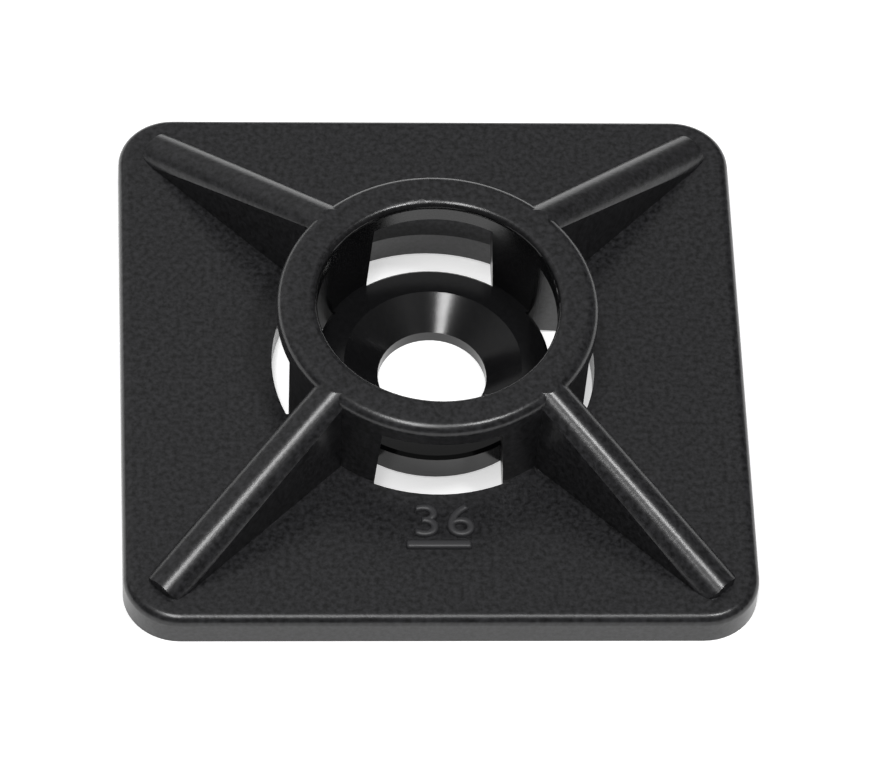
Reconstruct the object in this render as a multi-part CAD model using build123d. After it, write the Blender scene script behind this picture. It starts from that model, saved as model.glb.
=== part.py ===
from build123d import *
import math
import os

os.makedirs("parts", exist_ok=True)

# A four-way cable tie mount, moulded in one piece from nylon. The origin is on the surface that the
# mount is fixed to, under the middle of the screw hole. +Z is up, X and Y are square to the sides.

# Base plate
base_side = 28.0
base_height = 1.6
base_corner_radius = 2.5
base_edge_radius = 0.45

# Countersunk screw hole through the round seat in the middle
screw_hole_radius = 2.45
countersink_radius = 4.0
screw_hole_land = 0.6
seat_edge_chamfer = 0.15

# Ring that holds the ties, with a bore that widens a little towards the top
ring_bore_radius = 5.28
ring_bore_draft_angle = 1.2
ring_wall = 1.87
ring_height = 6.25
ring_outer_edge_radius = 0.5
ring_inner_edge_radius = 0.35

# Four openings, each a window under a bridge of the ring with a slot through the base below it
opening_width = 5.7
opening_draft_angle = 3.0
bridge_height = 1.2
bridge_edge_chamfer = 0.15
slot_clearance = 0.1
slot_foot_chamfer = 0.2

# Four ribs on the diagonals, from the ring to the corners, with crowned tops and drafted sides
rib_root_width = 2.0
rib_draft_angle = 2.0
rib_crown_radius = 1.05
rib_ring_height = 6.2
rib_corner_height = 2.05
rib_corner_margin = 1.2
rib_end_radius = 0.6

# Length by which a cutting shape runs past what it cuts
overrun = 1.0

ring_outer_radius = ring_bore_radius + ring_wall
slot_outer_radius = ring_outer_radius + slot_clearance


def base_plate():
    """Square plate with rounded corners and a rounded top edge."""
    plate = extrude(RectangleRounded(base_side, base_side, base_corner_radius), base_height)
    return fillet(plate.faces().sort_by(Axis.Z)[-1].edges(), base_edge_radius)


def tie_ring():
    """Ring standing on the plate, turned from its wall section, with both top edges rounded."""
    bore_widening = (ring_height - base_height) * math.tan(math.radians(ring_bore_draft_angle))
    mouth_radius = ring_bore_radius + bore_widening
    section = make_face(Polyline(
        (ring_bore_radius, base_height), (ring_outer_radius, base_height),
        (ring_outer_radius, ring_height), (mouth_radius, ring_height), close=True))
    outer_corner = section.vertices().sort_by(Axis.X)[-2:].sort_by(Axis.Y)[-1]
    section = fillet(outer_corner, ring_outer_edge_radius)
    inner_corner = section.vertices().sort_by(Axis.X)[1]
    section = fillet(inner_corner, ring_inner_edge_radius)
    return revolve(Plane.XZ * section, Axis.Z)


def rib():
    """One rib along +X: a drafted bar whose top is a crowned slope from the ring to the corner."""
    corner_reach = base_side / math.sqrt(2) - base_corner_radius * (math.sqrt(2) - 1)
    rib_start = ring_bore_radius + ring_wall / 2
    rib_end = corner_reach - rib_corner_margin
    length = rib_end - rib_start
    outline = Pos(rib_start + length / 2, 0) * Rectangle(length, rib_root_width)
    outline = fillet(outline.vertices().sort_by(Axis.X)[-2:], rib_end_radius)
    bar = extrude(Pos(0, 0, base_height) * outline, ring_height - base_height, taper=rib_draft_angle)

    slope = (rib_ring_height - rib_corner_height) / (rib_end - ring_outer_radius)
    start = Vector(0, 0, rib_ring_height + slope * ring_outer_radius)
    across = Plane(origin=start, x_dir=(0, 1, 0), z_dir=(1, 0, -slope))
    crown = Pos(0, -rib_crown_radius) * Circle(rib_crown_radius)
    below = Pos(0, -rib_crown_radius - ring_height) * Rectangle(2 * rib_crown_radius, 2 * ring_height)
    crest = extrude(across * (crown + below), rib_end * math.hypot(1, slope) + overrun)
    return bar & crest


def opening_cores():
    """Drafted cross that rises from below the base to the underside of the bridges."""
    height = overrun + ring_height - bridge_height
    foot_width = opening_width + 2 * (base_height + overrun) * math.tan(math.radians(opening_draft_angle))
    reach = 2 * (slot_outer_radius + slot_foot_chamfer + 2 * overrun)
    outline = Rectangle(reach, foot_width) + Rectangle(foot_width, reach)
    return Pos(0, 0, -overrun) * extrude(outline, height, taper=opening_draft_angle)


def slot_ring():
    """Round gap between the seat and the base, with chamfers on its lower edges and on the seat's edge."""
    seat_edge_run = seat_edge_chamfer + overrun
    inner_foot = ring_bore_radius - slot_foot_chamfer
    outer_foot = slot_outer_radius + slot_foot_chamfer
    section = make_face(Polyline(
        (inner_foot - overrun, -overrun), (inner_foot, 0), (ring_bore_radius, slot_foot_chamfer),
        (ring_bore_radius, base_height - seat_edge_chamfer),
        (ring_bore_radius - seat_edge_run, base_height + overrun), (slot_outer_radius, base_height + overrun),
        (slot_outer_radius, slot_foot_chamfer), (outer_foot, 0),
        (outer_foot + overrun, -overrun), close=True))
    return revolve(Plane.XZ * section, Axis.Z)


def screw_hole():
    """Through hole with a wide, shallow countersink above a short straight land."""
    section = make_face(Polyline(
        (0, -overrun), (screw_hole_radius, -overrun), (screw_hole_radius, screw_hole_land),
        (countersink_radius, base_height), (countersink_radius, base_height + overrun),
        (0, base_height + overrun), close=True))
    return revolve(Plane.XZ * section, Axis.Z)


cores = opening_cores()
ring = tie_ring() - cores
bridge_undersides = ring.faces().filter_by(Plane.XY).group_by(Axis.Z)[1]
bridge_edges = bridge_undersides.edges().filter_by(GeomType.CIRCLE)
ring = chamfer(bridge_edges, bridge_edge_chamfer)

mount = base_plate() + ring
for turn in range(4):
    mount += Rot(0, 0, 45 + 90 * turn) * rib()
mount = mount - (cores & slot_ring()) - screw_hole()

export_step(mount, "parts/cable_tie_mount.step")
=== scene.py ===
import math

import bpy
from mathutils import Matrix, Vector


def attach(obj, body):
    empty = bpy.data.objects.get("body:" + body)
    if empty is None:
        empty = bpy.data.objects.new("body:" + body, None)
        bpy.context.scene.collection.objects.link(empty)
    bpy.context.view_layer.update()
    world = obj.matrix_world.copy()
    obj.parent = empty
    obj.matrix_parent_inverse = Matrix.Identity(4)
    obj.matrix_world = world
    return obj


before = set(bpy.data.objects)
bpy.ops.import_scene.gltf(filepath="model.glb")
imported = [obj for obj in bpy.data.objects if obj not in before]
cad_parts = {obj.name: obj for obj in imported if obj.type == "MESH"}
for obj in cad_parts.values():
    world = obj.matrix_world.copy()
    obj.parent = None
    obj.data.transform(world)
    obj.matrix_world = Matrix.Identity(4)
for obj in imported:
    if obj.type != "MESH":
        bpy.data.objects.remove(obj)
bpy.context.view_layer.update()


# The camera looks down on the mount from the front, a little to its left and slightly rolled. Its
# angle, distance and lens were worked out from the edges and circles of the real mount in the photo.
camera_azimuth = math.radians(-6.113)
camera_elevation = math.radians(53.502)
camera_roll = math.radians(4.988)
camera_distance = 0.308905
camera_target = Vector((0.000282, -0.000006, 0.0))
camera_lens_mm = 282.12
sensor_width_mm = 36.0
nearest_seen = 0.01
farthest_seen = 10.0

toward_camera = Vector((
    math.sin(camera_azimuth) * math.cos(camera_elevation),
    -math.cos(camera_azimuth) * math.cos(camera_elevation),
    math.sin(camera_elevation)))
level_right = (-toward_camera).cross(Vector((0.0, 0.0, 1.0))).normalized()
level_up = level_right.cross(-toward_camera)
camera_right = level_right * math.cos(camera_roll) + level_up * math.sin(camera_roll)
camera_up = level_up * math.cos(camera_roll) - level_right * math.sin(camera_roll)
camera_turn = Matrix((camera_right, camera_up, toward_camera)).transposed().to_4x4()

bpy.ops.object.select_all(action="DESELECT")
bpy.ops.object.camera_add()
camera = bpy.context.object
camera.name = "photo_camera"
camera.data.sensor_width = sensor_width_mm
camera.data.lens = camera_lens_mm
camera.data.clip_start = nearest_seen
camera.data.clip_end = farthest_seen
camera.matrix_world = Matrix.Translation(camera_target + toward_camera * camera_distance) @ camera_turn
bpy.context.scene.camera = camera
bpy.context.scene.view_settings.view_transform = "Standard"


# Studio light: a long soft box almost overhead, a little to the front and left, draws the narrow bright
# lines on the rounded edges and the left ribs. A small one to the right does that on the right ribs.
light_distance = 1.0
light_long_axis = Vector((0.0, -1.0, 0.0))


def soft_box(name, direction, width, length, power):
    """An area light in that direction from the mount, facing it, with its length from front to back."""
    bpy.ops.object.light_add(type="AREA")
    lamp = bpy.context.object
    lamp.name = name
    lamp.data.shape = "RECTANGLE"
    lamp.data.size = width
    lamp.data.size_y = length
    lamp.data.energy = power
    toward_lamp = Vector(direction).normalized()
    across = light_long_axis.cross(toward_lamp).normalized()
    along = toward_lamp.cross(across)
    lamp_turn = Matrix((across, along, toward_lamp)).transposed().to_4x4()
    lamp.matrix_world = Matrix.Translation(toward_lamp * light_distance) @ lamp_turn


soft_box("overhead_box", direction=(-0.13, -0.27, 0.954), width=0.14, length=0.46, power=4.8)
soft_box("right_box", direction=(0.28, -0.17, 0.94), width=0.12, length=0.16, power=3.4)


# The room around the table: a bright wall behind and to the left, which the satin top of the mount
# mirrors as dark grey, and a dim rest, so that its ribs and its seat keep dark sides.
room_colour = "#FFFFFF"
room_light = 0.46
room_dim_share = 0.22
bright_wall_middle = Vector((-0.50, 0.60, 0.76)).normalized()
bright_wall_middle_cosine = 1.0
bright_wall_edge_cosine = 0.6


def srgb(code):
    """The linear colour of an sRGB hex code, by that standard's curve. Every colour here is such a code."""
    parts = [int(code[i:i + 2], 16) / 255 for i in (1, 3, 5)]
    return tuple(p / 12.92 if p <= 0.04045 else ((p + 0.055) / 1.055) ** 2.4 for p in parts) + (1.0,)


def add_node(owner, kind, settings=None, links=None):
    """Adds a node, sets its properties and sockets, and joins its inputs to other nodes' outputs."""
    node = owner.node_tree.nodes.new(kind)
    for key, value in (settings or {}).items():
        if isinstance(key, str) and hasattr(node, key):
            setattr(node, key, value)
        else:
            node.inputs[key].default_value = value
    for key, (source, output) in (links or {}).items():
        owner.node_tree.links.new(source.outputs[output], node.inputs[key])
    return node


room = bpy.data.worlds.new("studio_room")
room.use_nodes = True
room.node_tree.nodes.clear()
room_direction = add_node(room, "ShaderNodeTexCoord")
room_facing = add_node(room, "ShaderNodeVectorMath", {
    "operation": "DOT_PRODUCT", 1: bright_wall_middle}, {0: (room_direction, "Generated")})
room_level = add_node(room, "ShaderNodeMapRange", {
    "interpolation_type": "SMOOTHSTEP",
    "From Min": bright_wall_edge_cosine, "From Max": bright_wall_middle_cosine,
    "To Min": room_dim_share * room_light, "To Max": room_light}, {"Value": (room_facing, "Value")})
room_glow = add_node(room, "ShaderNodeBackground", {
    "Color": srgb(room_colour)}, {"Strength": (room_level, "Result")})
add_node(room, "ShaderNodeOutputWorld", None, {"Surface": (room_glow, "Background")})
bpy.context.scene.world = room


# The table: a sheet of matt white paper, far wider than the view. It is lit like paper, and shows as
# plain white to the camera, less where the mount shades it. It lies a hair under the flat underside of
# the mount, so that the two faces aren't in one plane.
table_width = 3.0
table_gap = 0.00002
paper_colour = "#E4E4E4"
paper_lift_colour = "#FFFFFF"
paper_lift = 0.55


def blank_material(name):
    """A new material with an empty node tree."""
    material = bpy.data.materials.new(name)
    material.use_nodes = True
    material.node_tree.nodes.clear()
    return material


bpy.ops.object.select_all(action="DESELECT")
bpy.ops.mesh.primitive_plane_add(size=table_width, location=(0.0, 0.0, -table_gap))
table = bpy.context.object
table.name = "white_table"

# Matt paper spreads light evenly and has no gloss. The lift makes it plain white to the camera and in
# what the nylon mirrors, with no more light on the table.
paper = blank_material("matt_white_paper")
paper_rays = add_node(paper, "ShaderNodeLightPath")
paper_seen = add_node(paper, "ShaderNodeMath", {"operation": "ADD"}, {
    0: (paper_rays, "Is Camera Ray"), 1: (paper_rays, "Is Glossy Ray")})
paper_strength = add_node(paper, "ShaderNodeMath", {
    "operation": "MULTIPLY", 1: paper_lift}, {0: (paper_seen, "Value")})
paper_glow = add_node(paper, "ShaderNodeEmission", {
    "Color": srgb(paper_lift_colour)}, {"Strength": (paper_strength, "Value")})
paper_diffuse = add_node(paper, "ShaderNodeBsdfDiffuse", {"Color": srgb(paper_colour)})
paper_sum = add_node(paper, "ShaderNodeAddShader", None, {
    0: (paper_diffuse, "BSDF"), 1: (paper_glow, "Emission")})
add_node(paper, "ShaderNodeOutputMaterial", None, {"Surface": (paper_sum, "Shader")})
table.data.materials.append(paper)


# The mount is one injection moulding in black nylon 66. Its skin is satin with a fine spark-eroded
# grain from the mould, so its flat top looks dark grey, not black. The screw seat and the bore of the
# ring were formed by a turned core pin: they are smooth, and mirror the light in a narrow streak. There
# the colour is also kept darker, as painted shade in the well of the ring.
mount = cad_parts["cable_tie_mount"]

nylon_ior = 1.53
grain_peak_colour = "#0F0F10"
grain_pit_colour = "#2D2D2F"
grain_roughness = 0.28
core_roughness = 0.17

# The real grain is finer than the render can show, so it is drawn coarser, as a soft mottle.
grain_size = 0.00023
grain_height = 0.000006
grain_octaves = 3.0
grain_octave_share = 0.6
grain_low_level = 0.34
grain_high_level = 0.66

# The pin's smooth surface ends at the rounded inner edge of the ring, and keeps a trace of the grain.
# Inside that radius the colour also stays near the darker peak colour: painted shade in the well.
core_end_radius = 0.0054
grain_start_radius = 0.0056
core_grain_and_shade_share = 0.1

# The colour sockets of a Mix node, which have the same names as its number and vector ones.
mix_first_colour = 6
mix_second_colour = 7
mix_result_colour = 2

nylon = blank_material("moulded_black_nylon_66")
nylon_place = add_node(nylon, "ShaderNodeTexCoord")
nylon_grain = add_node(nylon, "ShaderNodeTexNoise", {
    "Scale": 1.0 / grain_size, "Detail": grain_octaves, "Roughness": grain_octave_share}, {
    "Vector": (nylon_place, "Object")})
nylon_from_axis = add_node(nylon, "ShaderNodeVectorMath", {
    "operation": "MULTIPLY", 1: (1.0, 1.0, 0.0)}, {0: (nylon_place, "Object")})
nylon_radius = add_node(nylon, "ShaderNodeVectorMath", {
    "operation": "LENGTH"}, {0: (nylon_from_axis, "Vector")})
nylon_grain_and_well_shade = add_node(nylon, "ShaderNodeMapRange", {
    "From Min": core_end_radius, "From Max": grain_start_radius,
    "To Min": core_grain_and_shade_share, "To Max": 1.0}, {"Value": (nylon_radius, "Value")})
nylon_roughness = add_node(nylon, "ShaderNodeMapRange", {
    "From Min": core_end_radius, "From Max": grain_start_radius,
    "To Min": core_roughness, "To Max": grain_roughness}, {"Value": (nylon_radius, "Value")})
nylon_bump = add_node(nylon, "ShaderNodeBump", {"Distance": grain_height}, {
    "Height": (nylon_grain, "Fac"), "Strength": (nylon_grain_and_well_shade, "Result")})
nylon_pits = add_node(nylon, "ShaderNodeMapRange", {
    "From Min": grain_low_level, "From Max": grain_high_level}, {"Value": (nylon_grain, "Fac")})
# Inside the ring the lighter pit colour is mostly left out, so the seat and bore get painted shade.
nylon_pits_and_well_shade = add_node(nylon, "ShaderNodeMath", {"operation": "MULTIPLY"}, {
    0: (nylon_pits, "Result"), 1: (nylon_grain_and_well_shade, "Result")})
nylon_colour = add_node(nylon, "ShaderNodeMix", {
    "data_type": "RGBA",
    mix_first_colour: srgb(grain_peak_colour), mix_second_colour: srgb(grain_pit_colour)}, {
    "Factor": (nylon_pits_and_well_shade, "Value")})
nylon_skin = add_node(nylon, "ShaderNodeBsdfPrincipled", {"IOR": nylon_ior}, {
    "Base Color": (nylon_colour, mix_result_colour),
    "Roughness": (nylon_roughness, "Result"),
    "Normal": (nylon_bump, "Normal")})
add_node(nylon, "ShaderNodeOutputMaterial", None, {"Surface": (nylon_skin, "BSDF")})
mount.data.materials.clear()
mount.data.materials.append(nylon)


# Size mark in front of the ring: plain digits over a bar, part of the moulding. They stand up a little
# because they were milled into the mould with a round-nosed cutter, which gives them rounded edges and
# a smoother surface than the grain around them.
mark_text = "36"
mark_digit_centre = (0.00015, -0.0087)
mark_digit_height = 0.00162
mark_digit_stretch = 1.15
mark_digit_spacing = 1.12
mark_bar_centre = (-0.0001, -0.01)
mark_bar_length = 0.0029
mark_bar_width = 0.00042

# The mark rises above the top of the base plate and is sunk into it, so that no gap shows below it.
plate_top = 0.0016
mark_rise = 0.0002
mark_sink = 0.0001
mark_depth = mark_rise + mark_sink
mark_middle_height = plate_top + (mark_rise - mark_sink) / 2

mark_edge_radius = 0.00013
mark_stroke_inset = 0.00008
digit_edge_steps = 3
bar_edge_steps = 5
mark_merge_distance = 0.000001
mark_smooth_angle = math.radians(50)
font_cap_share = 0.7

bpy.ops.object.select_all(action="DESELECT")
bpy.ops.object.text_add()
digits = bpy.context.object
digits.data.body = mark_text
digits.data.align_x = "CENTER"
digits.data.space_character = mark_digit_spacing
digits.data.size = mark_digit_height / font_cap_share
digits.data.extrude = mark_depth / 2 - mark_edge_radius
digits.data.bevel_depth = mark_edge_radius
digits.data.bevel_resolution = digit_edge_steps
digits.data.offset = -mark_stroke_inset
bpy.ops.object.convert(target="MESH")
digits.scale = (mark_digit_stretch, 1.0, 1.0)
digits.location = (
    mark_digit_centre[0], mark_digit_centre[1] - mark_digit_height / 2, mark_middle_height)
bpy.ops.object.transform_apply(location=True, rotation=True, scale=True)

bpy.ops.object.select_all(action="DESELECT")
bpy.ops.mesh.primitive_cube_add(size=1.0)
bar = bpy.context.object
bar.scale = (mark_bar_length, mark_bar_width, mark_depth)
bar.location = (mark_bar_centre[0], mark_bar_centre[1], mark_middle_height)
bpy.ops.object.transform_apply(location=True, rotation=True, scale=True)
bar_rounding = bar.modifiers.new("cutter_radius", "BEVEL")
bar_rounding.width = mark_edge_radius
bar_rounding.segments = bar_edge_steps
bpy.ops.object.modifier_apply(modifier="cutter_radius")

digits.select_set(True)
bpy.context.view_layer.objects.active = digits
bpy.ops.object.join()
mark = bpy.context.object
mark.name = "raised_size_mark"
bpy.ops.object.mode_set(mode="EDIT")
bpy.ops.mesh.select_all(action="SELECT")
bpy.ops.mesh.remove_doubles(threshold=mark_merge_distance)
bpy.ops.mesh.normals_make_consistent(inside=False)
bpy.ops.object.mode_set(mode="OBJECT")
bpy.ops.object.shade_smooth_by_angle(angle=mark_smooth_angle)

# The same nylon where the mould was milled: even and matt. Its colour is lighter than the grain
# around it, a painted sheen that stands in for the highlights on the rounded strokes.
mark_sheen_colour = "#333335"
mark_roughness = 0.48

mark_nylon = blank_material("milled_black_nylon_66")
mark_skin = add_node(mark_nylon, "ShaderNodeBsdfPrincipled", {
    "Base Color": srgb(mark_sheen_colour), "Roughness": mark_roughness, "IOR": nylon_ior})
add_node(mark_nylon, "ShaderNodeOutputMaterial", None, {"Surface": (mark_skin, "BSDF")})
mark.data.materials.append(mark_nylon)
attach(mark, "root")
